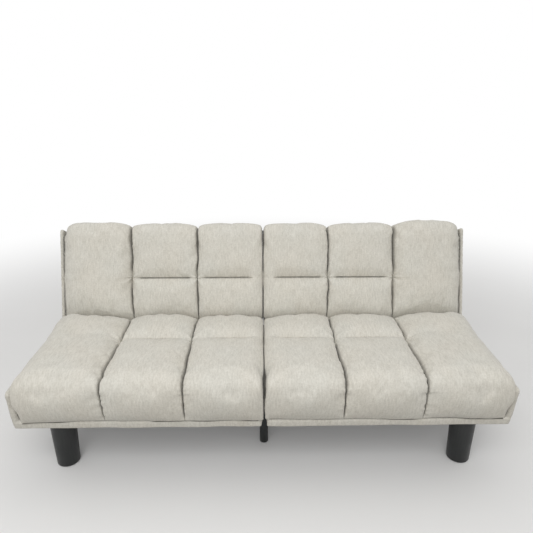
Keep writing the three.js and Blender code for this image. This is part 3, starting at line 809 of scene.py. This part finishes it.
def makeBorder(section, label):
    name = section["name"] + "_border_" + label
    side = sides[label]
    seed = border["seed"] + section["seed"] + (0 if side > 0 else 5)
    length, depth, bandHeight = section["length"], section["depth"], cushion["bandHeight"]
    piece = roughBorder(name)
    points = flattenSection(section, readPoints(piece), side)
    normals = flattenSection(section, readPoints(piece) + readNormals(piece), side) - points
    x, t, h = points.T
    fromTop = cushion["borderRise"] - h
    fromFace = freeFace(section, h) - t
    rim = np.minimum(fromTop, fromFace)
    belowRim = np.maximum(rim, 0)
    towardsTop = 1 / (1 + np.exp(np.clip((fromTop - fromFace) / 0.006, -30, 30)))
    along = t + fromTop
    nearRim = np.exp(-belowRim / border["gatherReach"])
    isWall = smoothStep(0.7, 0.95, np.abs(normals[:, 0]))
    isOuter = x > border["outerWall"] - border["wallReach"]
    isInner = x < border["innerWall"] + border["wallReach"]
    facesCushion = (isWall > 0.3) & np.where(x > 0.4, normals[:, 0] < 0, normals[:, 0] > 0)
    facesGap = (isWall > 0.3) & isInner & ~facesCushion
    edges = np.minimum(np.minimum(rim, t - 0.003), h + depth)
    inPanel = smoothStep(*border["panelReach"], edges)
    isBand = (h < bandHeight - depth + 0.002) & (fromFace < 0.02)
    ripple = softNoise(along * 95, x * 12, seed + 1)

    puff = border["wallPuff"] * inPanel * isWall + border["edgePuff"] * (1 - isWall)
    crease = softNoise(t * 13 + 4, h * 17, seed) * border["crease"] * inPanel
    gathers = ripple * border["gather"] * nearRim * isWall
    sag = softNoise(along * 11, x * 9, seed + 2) * border["waviness"] * (1 - isWall)
    sag = sag + softNoise(x * 13, h * 5, seed + 3) * border["waviness"] * isBand
    move = puff + crease + gathers + sag
    move = np.where(facesCushion, np.minimum(move, 0), move)
    move = np.where(facesGap, np.minimum(move, border["gapPuff"]), move)
    # At the hinge the wall keeps its own size, which leaves room for the fold.
    move = np.minimum(move, np.abs(move) * smoothStep(*border["hingeRoom"], t))
    points = points + normals * move[:, None]

    # Deep in the middle gap the soft walls of the two halves swell until they nearly touch.
    deep = smoothStep(-depth, 0.03 - depth, h) * (1 - smoothStep(-0.01, 0.018, h))
    deep = deep * (1 - smoothStep(length - 0.09, length - 0.03, t))
    points[:, 0] -= border["gapBulge"] * deep * (1 - smoothStep(*border["bulgeReach"], x))
    points[:, 0] = np.maximum(points[:, 0], border["leastX"])

    # The rim falls away into the gathered crease beside the cushion.
    overBand = h - bandHeight + depth
    aboveBand = smoothStep(0.0, 0.010, overBand)
    aboveCrease = smoothStep(-0.007, 0.001, overBand)
    intoCrease = np.clip(1 - (x - border["outerWall"]) / border["creaseReach"], 0, 1) ** 1.4 * isOuter
    lower = border["creaseDepth"] * intoCrease * (1 + 0.35 * ripple) * aboveCrease
    lower = lower * np.exp(-belowRim / 0.012)
    # Next to the middle gap the cushion covers the wall's end, so the wall stops behind it.
    nearFace = np.exp(-np.maximum(fromFace, 0) / border["recessReach"])
    setBack = border["recess"] * isInner * aboveBand * nearFace
    atCorner = isInner * aboveBand * np.exp(-(fromTop**2 + fromFace**2) / border["cornerReach"] ** 2)
    points[:, 2] -= lower * towardsTop + border["cornerCut"] * atCorner
    points[:, 1] -= lower * (1 - towardsTop) + setBack + border["cornerCut"] * atCorner
    # The band of the back rises a little, and the seat's outer wall is thicker towards the front.
    atFree = smoothStep(length - 0.07, length, t)
    points[:, 1] += section["rimRise"] * atFree * smoothStep(*border["rimRiseReach"], h)
    thicker = smoothStep(*border["puffStart"], t) * smoothStep(*border["puffWall"], x)
    points[:, 0] += section["frontPuff"][label] * thicker * (0.45 + 0.55 * smoothStep(-0.01, 0.10, -h))
    writePoints(piece, placeSection(section, points, side))

    # Painted shade for the wall's colour, kept in its gather values: near the rim, down into the crease
    # beside the cushion, and a dark line on the band under the cushion's foot.
    rimShade = intoCrease**0.7 * np.exp(-belowRim / 0.02) * aboveCrease
    underFoot = overBand - footSag(section, label, x) + 0.0025
    lineWidth = border["footShadeWidth"] + border["footShadeGrowth"] * smoothStep(0.5, 0.7, x)
    atFoot = np.exp(-((underFoot / lineWidth) ** 4)) * (fromFace < 0.02) * (~isOuter)
    setAttribute(piece, "gather", np.maximum(np.maximum(nearRim * isWall * 0.75, rimShade), atFoot))
    inEditMode(piece, faceOutwards)
    bpy.ops.object.shade_smooth()
    return piece, name


leg = {
    "topRadius": 0.0465,
    "footRadius": 0.0405,
    "footRound": 0.0022,
    "glideRadius": 0.030,
    "sides": 96,
}
thinLeg = {
    "topRadius": 0.0170,
    "footRadius": 0.0160,
    "footRound": 0.0015,
    "glideRadius": 0.011,
    "sides": 64,
}
glide = {
    "height": 0.0025,
    "lap": 0.001,  # how far it goes into the leg
    "rounding": 0.0008,
    "sides": 48,
}
legGap = 0.0003  # between a leg's top and what it is screwed to


def addCylinder(vertices, radius, bottom, top):
    deselectAll()
    bpy.ops.mesh.primitive_cylinder_add(
        vertices=vertices, radius=radius, depth=top - bottom, location=(0, 0, (top + bottom) / 2)
    )
    bpy.ops.object.transform_apply()
    return bpy.context.object


# A leg's two shapes, at the origin: a cylinder drawn in towards its rounded foot, and its glide.
def turnLeg(sizes, top):
    wood = addCylinder(sizes["sides"], sizes["topRadius"], glide["height"], top)
    points = readPoints(wood)
    share = (top - points[:, 2]) / (top - glide["height"])
    points[:, :2] *= 1 + (sizes["footRadius"] / sizes["topRadius"] - 1) * share[:, None]
    writePoints(wood, points)
    bevelEdges(wood, sizes["footRound"], 4, 40)
    bpy.ops.object.shade_smooth_by_angle(angle=math.radians(40))
    pad = addCylinder(glide["sides"], sizes["glideRadius"], 0, glide["height"] + glide["lap"])
    bevelEdges(pad, glide["rounding"], 3, 40)
    bpy.ops.object.shade_smooth_by_angle(angle=math.radians(40))
    return wood, pad


# Copies the leg and its glide to each place, every copy with its own mesh.
def makeLegs(sizes, top, names):
    wood, pad = turnLeg(sizes, top)
    for node in names:
        low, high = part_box(node)
        place = [(low.x + high.x) / 2, (low.y + high.y) / 2, 0]
        finish(copyShape(wood, "dressed_" + node, place), "base", legPaint, "leg_black", node)
        finish(copyShape(pad, "glide_" + node, place), "base", plastic, "leg_black")
    for shape in (wood, pad):
        bpy.data.objects.remove(shape)


cover = {
    "thickness": 0.0012,
    "cell": 0.0095,
    "edgeReach": 0.10,
    "sag": {"seat": -0.0014, "back": 0.0007},
    "wrinkle": 0.0005,
    "mostWrinkle": 0.002,
}
staple = {
    "step": 0.055,
    "inset": 0.009,
    "size": (0.0105, 0.0011, 0.0007),
    "rounding": 0.0002,
    "drop": 0.0001,
    "turn": 12,
}


# The cloth under a seat, or behind a back, stretched over the rails from edge to edge.
def makeCover(section, label, node):
    side = sides[label]
    low, high = coverLow.x, coverHigh.x
    near = hingeY - coverHigh.y
    inFace = freeFace(section, -section["depth"]) - cushion["bandThickness"]
    far = hingeY - coverLow.y if section is seat else inFace
    width, length = high - low, far - near
    deselectAll()
    across, along = round(width / cover["cell"]), round(length / cover["cell"])
    bpy.ops.mesh.primitive_grid_add(x_subdivisions=across, y_subdivisions=along, size=1)
    piece = bpy.context.object
    piece.name = piece.data.name = "dressed_" + node
    points = readPoints(piece)
    u, v = points[:, 0] + 0.5, points[:, 1] + 0.5
    x, t = low + width * u, near + length * v
    fromEdge = np.minimum(np.minimum(u, 1 - u) * width, np.minimum(v, 1 - v) * length)
    hollow = smoothStep(0, cover["edgeReach"], fromEdge)
    seed = section["seed"] + 60 + (0 if side > 0 else 9)
    wrinkles = softNoise(x * 9, t * 26, seed) + 0.6 * softNoise(x * 40, t * 12, seed + 1)
    puckers = softNoise(x * 60, t * 60, seed + 2) * (1 - hollow)
    lift = cover["wrinkle"] * (wrinkles * hollow + puckers)
    height = -section["depth"] + cover["thickness"] * 1.1
    h = height + cover["sag"][section["name"]] * hollow + lift
    flat = np.column_stack([x, t, np.minimum(h, height + cover["mostWrinkle"])])
    writePoints(piece, placeSection(section, flat, side))
    applyModifier(piece, "SOLIDIFY", thickness=cover["thickness"], offset=0)
    inEditMode(piece, faceOutwards)
    bpy.ops.object.shade_smooth_by_angle(angle=math.radians(50))
    return piece, (width, length)


# Staples hold the lining to the rails all round, each a little askew.
def makeStaples(label):
    side = sides[label]
    low, high = coverLow.x + staple["inset"], coverHigh.x - staple["inset"]
    near, far = coverLow.y + staple["inset"], coverHigh.y - staple["inset"]
    places = []
    for x in np.linspace(low, high, round((high - low) / staple["step"])):
        places += [(x, near, 0), (x, far, 0)]
    for y in np.linspace(near, far, round((far - near) / staple["step"]))[1:-1]:
        places += [(low, y, 90), (high, y, 90)]
    turns = np.random.RandomState(7).uniform(-staple["turn"], staple["turn"], len(places))
    deselectAll()
    bpy.ops.mesh.primitive_cube_add(size=1)
    first = bpy.context.object
    first.scale = staple["size"]
    bpy.ops.object.transform_apply()
    applyModifier(first, "BEVEL", width=staple["rounding"], segments=1)
    copies = []
    for (x, y, angle), turn in zip(places, turns):
        piece = copyShape(first, "staples_" + label, (0, 0, 0))
        piece.location = (x * side, y, coverLow.z + staple["drop"])
        piece.rotation_euler.z = math.radians(angle + turn)
        copies.append(piece)
    bpy.data.objects.remove(first)
    makeActive(copies[0])
    for piece in copies:
        piece.select_set(True)
    bpy.ops.object.transform_apply()
    bpy.ops.object.join()
    joined = bpy.context.object
    joined.name = joined.data.name = "staples_" + label
    return joined


def finish(piece, body, material, slotName, *nodes):
    piece.data.materials.clear()
    piece.data.materials.append(material)
    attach(piece, body)
    if nodes:
        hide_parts(*nodes)
    return piece


class Nodes:
    def __init__(self, name):
        self.material = bpy.data.materials.new(name)
        self.material.use_nodes = True
        self.tree = self.material.node_tree
        self.shader = self.tree.nodes["Principled BSDF"]

    def add(self, kind, values=None, **settings):
        node = self.tree.nodes.new("ShaderNode" + kind)
        for key, value in settings.items():
            setattr(node, key, value)
        for socket, value in (values or {}).items():
            node.inputs[socket].default_value = value
        return node

    def link(self, source, target):
        self.tree.links.new(source, target)

    def set(self, **values):
        for key, value in values.items():
            self.shader.inputs[key.replace("_", " ")].default_value = value

    def math(self, operation, first, second):
        node = self.add("Math", operation=operation)
        for socket, value in zip(node.inputs, (first, second)):
            if isinstance(value, (int, float)):
                socket.default_value = value
            else:
                self.link(value, socket)
        return node.outputs[0]

    def noise(self, coordinates, scale, detail=2.0, roughness=0.5):
        mapping = self.add("Mapping", {"Scale": scale})
        self.link(coordinates, mapping.inputs["Vector"])
        texture = self.add("TexNoise", {"Scale": 1.0, "Detail": detail, "Roughness": roughness})
        self.link(mapping.outputs[0], texture.inputs["Vector"])
        return texture.outputs["Fac"]

    def ramp(self, value, low, high, first, second):
        ramp = self.add("ValToRGB")
        ramp.color_ramp.elements[0].position = low
        ramp.color_ramp.elements[1].position = high
        ramp.color_ramp.elements[0].color = (*first, 1)
        ramp.color_ramp.elements[1].color = (*second, 1)
        self.link(value, ramp.inputs[0])
        return ramp.outputs[0]

    def mix(self, share, first, second, blend="MIX"):
        node = self.add("Mix", data_type="RGBA", blend_type=blend)
        for socket, value in ((node.inputs[0], share), (node.inputs[6], first), (node.inputs[7], second)):
            if isinstance(value, (int, float)):
                socket.default_value = value
            elif isinstance(value, tuple):
                socket.default_value = (*value, 1)
            else:
                self.link(value, socket)
        return node.outputs[2]

    def bump(self, height, strength, distance, before=None):
        node = self.add("Bump", {"Strength": strength, "Distance": distance})
        self.link(height, node.inputs["Height"])
        if before:
            self.link(before, node.inputs["Normal"])
        return node.outputs[0]


def linear(r, g, b):
    return tuple((c / 255 / 12.92 if c < 10.3 else ((c / 255 + 0.055) / 1.055) ** 2.4) for c in (r, g, b))


fabricLook = {
    "light": linear(225, 222, 213),
    "mid": linear(204, 201, 191),
    "dark": linear(166, 162, 151),
    "cool": linear(204, 203, 195),
    "warm": linear(206, 200, 188),
    # How strong the painted shade in creases is, how strong its thin painted dark line, and how dark that
    # painted shadow is.
    "creaseShade": 0.24,
    "creaseShadeLine": 0.85,
    "shadowTone": 0.32,
    "thread": 0.0005,
    "gather": 0.0016,
}


# Brushed, slubby upholstery cloth. Its fine ribs run along the section, as its warp does.
def makeFabric(name, onMap, tone=1.0):
    nodes = Nodes(name)
    texture = nodes.add("TexCoord")
    place = texture.outputs["UV"] if onMap else texture.outputs["Object"]
    light, mid, dark, cool, warm = (
        tuple(c * tone for c in fabricLook[shade]) for shade in ("light", "mid", "dark", "cool", "warm")
    )
    # How many of each there are to a metre, on the cloth's own map or in the room's directions.
    ribs = nodes.noise(place, (430, 62, 1) if onMap else (300, 300, 60), 2, 0.6)
    slubs = nodes.noise(place, (165, 34, 1) if onMap else (130, 130, 30), 3, 0.6)
    nap = nodes.noise(place, (185, 150, 1) if onMap else (175, 175, 150), 4, 0.8)
    threads = nodes.noise(place, (1500, 1100, 1) if onMap else (1300, 1300, 1300), 1)
    brushed = nodes.noise(place, (26, 15, 1) if onMap else (22, 22, 14), 4, 0.6)
    clouds = nodes.noise(place, (6, 5, 1) if onMap else (6, 6, 5), 3, 0.55)
    colour = nodes.ramp(ribs, 0.28, 0.72, dark, light)
    colour = nodes.mix(0.60, colour, nodes.ramp(nap, 0.39, 0.61, dark, light))
    colour = nodes.mix(0.36, colour, nodes.ramp(slubs, 0.36, 0.64, dark, light))
    colour = nodes.mix(0.26, colour, nodes.ramp(brushed, 0.38, 0.62, mid, light))
    colour = nodes.mix(0.25, colour, nodes.ramp(clouds, 0.38, 0.62, warm, cool))
    gather = nodes.add("Attribute", attribute_name="gather").outputs["Fac"]
    # The gather values paint shade into the colour: a crease gets a broad, faint painted shade with a thin
    # painted dark line at its bottom.
    broad = nodes.math("MULTIPLY", nodes.math("POWER", gather, 3), fabricLook["creaseShade"])
    thin = nodes.math("MULTIPLY", nodes.math("POWER", gather, 14), fabricLook["creaseShadeLine"])
    shadow = tuple(c * fabricLook["shadowTone"] for c in dark)
    colour = nodes.mix(nodes.math("ADD", broad, thin), colour, shadow)
    nodes.link(colour, nodes.shader.inputs["Base Color"])
    weave = nodes.math("ADD", nodes.math("MULTIPLY", ribs, 0.6), nodes.math("MULTIPLY", threads, 0.35))
    weave = nodes.math("ADD", weave, nodes.math("MULTIPLY", nap, 0.5))
    normal = nodes.bump(weave, 0.5, fabricLook["thread"])
    folds = nodes.noise(place, (40, 165, 1) if onMap else (120, 120, 120))
    normal = nodes.bump(nodes.math("MULTIPLY", folds, gather), 0.9, fabricLook["gather"], normal)
    if onMap:
        crossGather = nodes.add("Attribute", attribute_name="crossGather").outputs["Fac"]
        crossFolds = nodes.math("MULTIPLY", nodes.noise(place, (120, 30, 1)), crossGather)
        normal = nodes.bump(crossFolds, 0.8, fabricLook["gather"], normal)
    nodes.link(normal, nodes.shader.inputs["Normal"])
    nodes.set(Roughness=0.95, Sheen_Weight=0.2, Sheen_Roughness=0.45, Specular_IOR_Level=0.2)
    return nodes.material


def makeLegPaint():
    nodes = Nodes("leg_paint")
    place = nodes.add("TexCoord").outputs["Object"]
    grain = nodes.noise(place, (160, 160, 9), 4, 0.6)
    colour = nodes.ramp(grain, 0.3, 0.75, linear(22, 24, 24), linear(34, 36, 36))
    nodes.link(colour, nodes.shader.inputs["Base Color"])
    rough = nodes.ramp(nodes.noise(place, (30, 30, 30), 3), 0.3, 0.7, (0.34,) * 3, (0.5,) * 3)
    nodes.link(rough, nodes.shader.inputs["Roughness"])
    nodes.link(nodes.bump(grain, 0.25, 0.0003), nodes.shader.inputs["Normal"])
    return nodes.material


def makeTimber():
    nodes = Nodes("sawn_pine")
    place = nodes.add("TexCoord").outputs["Object"]
    rings = nodes.noise(place, (6, 90, 90), 5, 0.62)
    fibres = nodes.noise(place, (25, 700, 700))
    colour = nodes.ramp(rings, 0.35, 0.68, linear(196, 158, 108), linear(226, 198, 152))
    streaks = nodes.ramp(fibres, 0.3, 0.7, linear(176, 138, 92), linear(228, 202, 160))
    colour = nodes.mix(0.3, colour, streaks)
    nodes.link(colour, nodes.shader.inputs["Base Color"])
    nodes.link(nodes.bump(fibres, 0.4, 0.0004), nodes.shader.inputs["Normal"])
    nodes.set(Roughness=0.75)
    return nodes.material


# Grain is in cells to a metre, with its detail and roughness, and relief is a strength and a depth.
grainedLooks = {
    "glide_plastic": {
        "dark": (22, 22, 23), "light": (34, 34, 35), "grain": ((900, 900, 900), 2),
        "relief": (0.3, 0.0002), "roughness": 0.6,
    },
    "hardboard": {
        "dark": (124, 92, 58), "light": (160, 124, 84), "grain": ((260, 260, 260), 4, 0.7),
        "relief": (0.3, 0.0003), "roughness": 0.8,
    },
    "zinc_steel": {
        "dark": (134, 137, 141), "light": (168, 170, 173), "grain": ((1500, 60, 1500), 3),
        "relief": (0.15, 0.0001), "roughness": 0.38, "metallic": 0.9,
    },
    "black_steel": {
        "dark": (30, 31, 33), "light": (44, 46, 48), "grain": ((1500, 60, 1500), 3),
        "relief": (0.15, 0.0001), "roughness": 0.5, "metallic": 0.4,
    },
    "lining_cloth": {
        "dark": (24, 24, 25), "light": (42, 42, 44), "grain": ((520, 380, 300), 4, 0.7),
        "relief": (0.4, 0.0003), "roughness": 0.92, "folds": ((9, 5, 5), 2), "foldRelief": (0.5, 0.006),
    },
}


def makeGrained(name):
    look = grainedLooks[name]
    nodes = Nodes(name)
    place = nodes.add("TexCoord").outputs["Object"]
    grain = nodes.noise(place, *look["grain"])
    colour = nodes.ramp(grain, 0.3, 0.7, linear(*look["dark"]), linear(*look["light"]))
    nodes.link(colour, nodes.shader.inputs["Base Color"])
    normal = nodes.bump(grain, *look["relief"])
    if "folds" in look:
        normal = nodes.bump(nodes.noise(place, *look["folds"]), *look["foldRelief"], normal)
    nodes.link(normal, nodes.shader.inputs["Normal"])
    nodes.set(Roughness=look["roughness"], Metallic=look.get("metallic", 0))
    return nodes.material


padFabric = makeFabric("pad_fabric", True)
wallFabric = makeFabric("wall_fabric", False, 0.97)
legPaint = makeLegPaint()
timber = makeTimber()
plastic, hardboard, zincSteel, blackSteel, liningCloth = (makeGrained(name) for name in grainedLooks)
print("materials made")

for section in (seat, back):
    for label in sides:
        body = "base" if section is seat else "back_" + label
        piece, node = makeCushion(section, label)
        finish(piece, body, padFabric, "cushion_fabric", node)
        print(node, "sewn and filled:", len(piece.data.polygons), "faces")
        piece, node = makeBorder(section, label)
        finish(piece, body, wallFabric, "border_fabric", node)
        print(node, "covered:", len(piece.data.polygons), "faces")

for label in sides:
    for section, part, body, material, slotName in (
        (seat, "dust_cover_", "base", liningCloth, "dust_cover_cloth"),
        (back, "rear_cover_", "back_" + label, wallFabric, "rear_cover_fabric"),
    ):
        node = section["name"] + "_" + part + label
        piece, flat = makeCover(section, label, node)
        finish(piece, body, material, slotName, node)
        if section is seat:
            finish(makeStaples(label), body, zincSteel, "hinge_steel")
print("covers stretched and stapled")

corners = [node + label for label in sides for node in ("front_leg_", "rear_leg_")]
makeLegs(leg, borderLow.z - legGap, corners)
makeLegs(thinLeg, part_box("centre_beam")[0].z - legGap, ("front_centre_leg", "rear_centre_leg"))
print("legs turned")

# The first of these words that is in a node's name says what it is made of.
carried = {
    "rail": timber,
    "leg_board": timber,
    "deck": hardboard,
    "pawl": blackSteel,
    "beam": blackSteel,
    "hinge_": zincSteel,
}
for name, node in frame["nodes"].items():
    material = next((carried[words] for words in carried if words in name), None)
    if material and not node.hide_render:
        node.data.materials.clear()
        node.data.materials.append(material)
print("frame finished")


room = {
    "floorSize": 30,
    "floorTone": (0.79, 0.785, 0.775),
    "floorBounce": (0.46, 0.45, 0.43),  # what the floor gives back of the light
    "shadowReach": 1.5,
    "whiteFrom": 3.6,
    "sky": 0.69,
    "aim": (0, 0, 0.35),
    "lights": {
        "front": {"place": (-0.4, -2.5, 2.55), "size": 2.2, "power": 50},
        "top": {"place": (0.5, 0.2, 3.2), "size": 2.4, "power": 4},
    },
}


# A share of 1 for what the camera sees of the room, straight or in a gloss, and 0 for its light.
def seenDirectly(tree):
    paths = tree.nodes.new("ShaderNodeLightPath")
    share = paths.outputs["Is Camera Ray"]
    for name in ("Is Glossy Ray", "Is Transmission Ray"):
        larger = tree.nodes.new("ShaderNodeMath")
        larger.operation = "MAXIMUM"
        tree.links.new(share, larger.inputs[0])
        tree.links.new(paths.outputs[name], larger.inputs[1])
        share = larger.outputs[0]
    return share


# The floor holds the sofa's shadow near it, and further out it fades to the white of the room.
def makeStage():
    deselectAll()
    bpy.ops.mesh.primitive_plane_add(size=room["floorSize"], location=(0, 0, 0))
    floor = bpy.context.object
    floor.name = "floor"
    nodes = Nodes("pale_floor")
    place = nodes.add("TexCoord").outputs["Object"]
    tone = room["floorTone"]
    tones = nodes.ramp(nodes.noise(place, (3, 3, 3), 3), 0.2, 0.8, tuple(c * 0.98 for c in tone), tone)
    nodes.link(tones, nodes.shader.inputs["Base Color"])
    nodes.set(Roughness=0.9)
    dull = nodes.add("BsdfDiffuse", {"Color": (*room["floorBounce"], 1)})
    seen = seenDirectly(nodes.tree)
    pale = nodes.add("MixShader")
    nodes.link(seen, pale.inputs[0])
    nodes.link(dull.outputs[0], pale.inputs[1])
    nodes.link(nodes.shader.outputs[0], pale.inputs[2])
    white = nodes.add("Emission", {"Color": (1, 1, 1, 1), "Strength": 1})
    distance = nodes.add("VectorMath", operation="LENGTH")
    nodes.link(place, distance.inputs[0])
    reach = {1: room["shadowReach"], 2: room["whiteFrom"]}
    fade = nodes.add("MapRange", reach, interpolation_type="SMOOTHSTEP")
    nodes.link(distance.outputs["Value"], fade.inputs[0])
    share = nodes.math("MULTIPLY", fade.outputs[0], seen)
    mix = nodes.add("MixShader")
    nodes.link(share, mix.inputs[0])
    nodes.link(pale.outputs[0], mix.inputs[1])
    nodes.link(white.outputs[0], mix.inputs[2])
    nodes.link(mix.outputs[0], nodes.tree.nodes["Material Output"].inputs["Surface"])
    floor.data.materials.append(nodes.material)


def makeLight():
    world = bpy.data.worlds.new("room")
    bpy.context.scene.world = world
    world.use_nodes = True
    tree = world.node_tree
    tree.nodes.clear()
    output = tree.nodes.new("ShaderNodeOutputWorld")
    mix = tree.nodes.new("ShaderNodeMixShader")
    tree.links.new(seenDirectly(tree), mix.inputs[0])
    for socket, strength in ((1, room["sky"]), (2, 1)):
        background = tree.nodes.new("ShaderNodeBackground")
        background.inputs[0].default_value = (1, 1, 1, 1)
        background.inputs[1].default_value = strength
        tree.links.new(background.outputs[0], mix.inputs[socket])
    tree.links.new(mix.outputs[0], output.inputs[0])
    for name, values in room["lights"].items():
        deselectAll()
        bpy.ops.object.light_add(type="AREA", location=values["place"])
        light = bpy.context.object
        light.name = name
        light.data.size = values["size"]
        light.data.energy = values["power"]
        light.visible_camera = False
        light.rotation_euler = (Vector(room["aim"]) - light.location).to_track_quat("-Z", "Y").to_euler()


def makeCamera():
    data = bpy.data.cameras.new("camera")
    data.sensor_width = camera["sensor"]
    data.lens = camera["lens"]
    view = bpy.data.objects.new("camera", data)
    bpy.context.scene.collection.objects.link(view)
    view.location = camera["place"]
    view.rotation_euler = Vector(camera["looksAlong"]).to_track_quat("-Z", "Y").to_euler()
    bpy.context.scene.camera = view


makeStage()
makeLight()
makeCamera()
bpy.context.scene.view_settings.view_transform = "Standard"
print("stage lit")
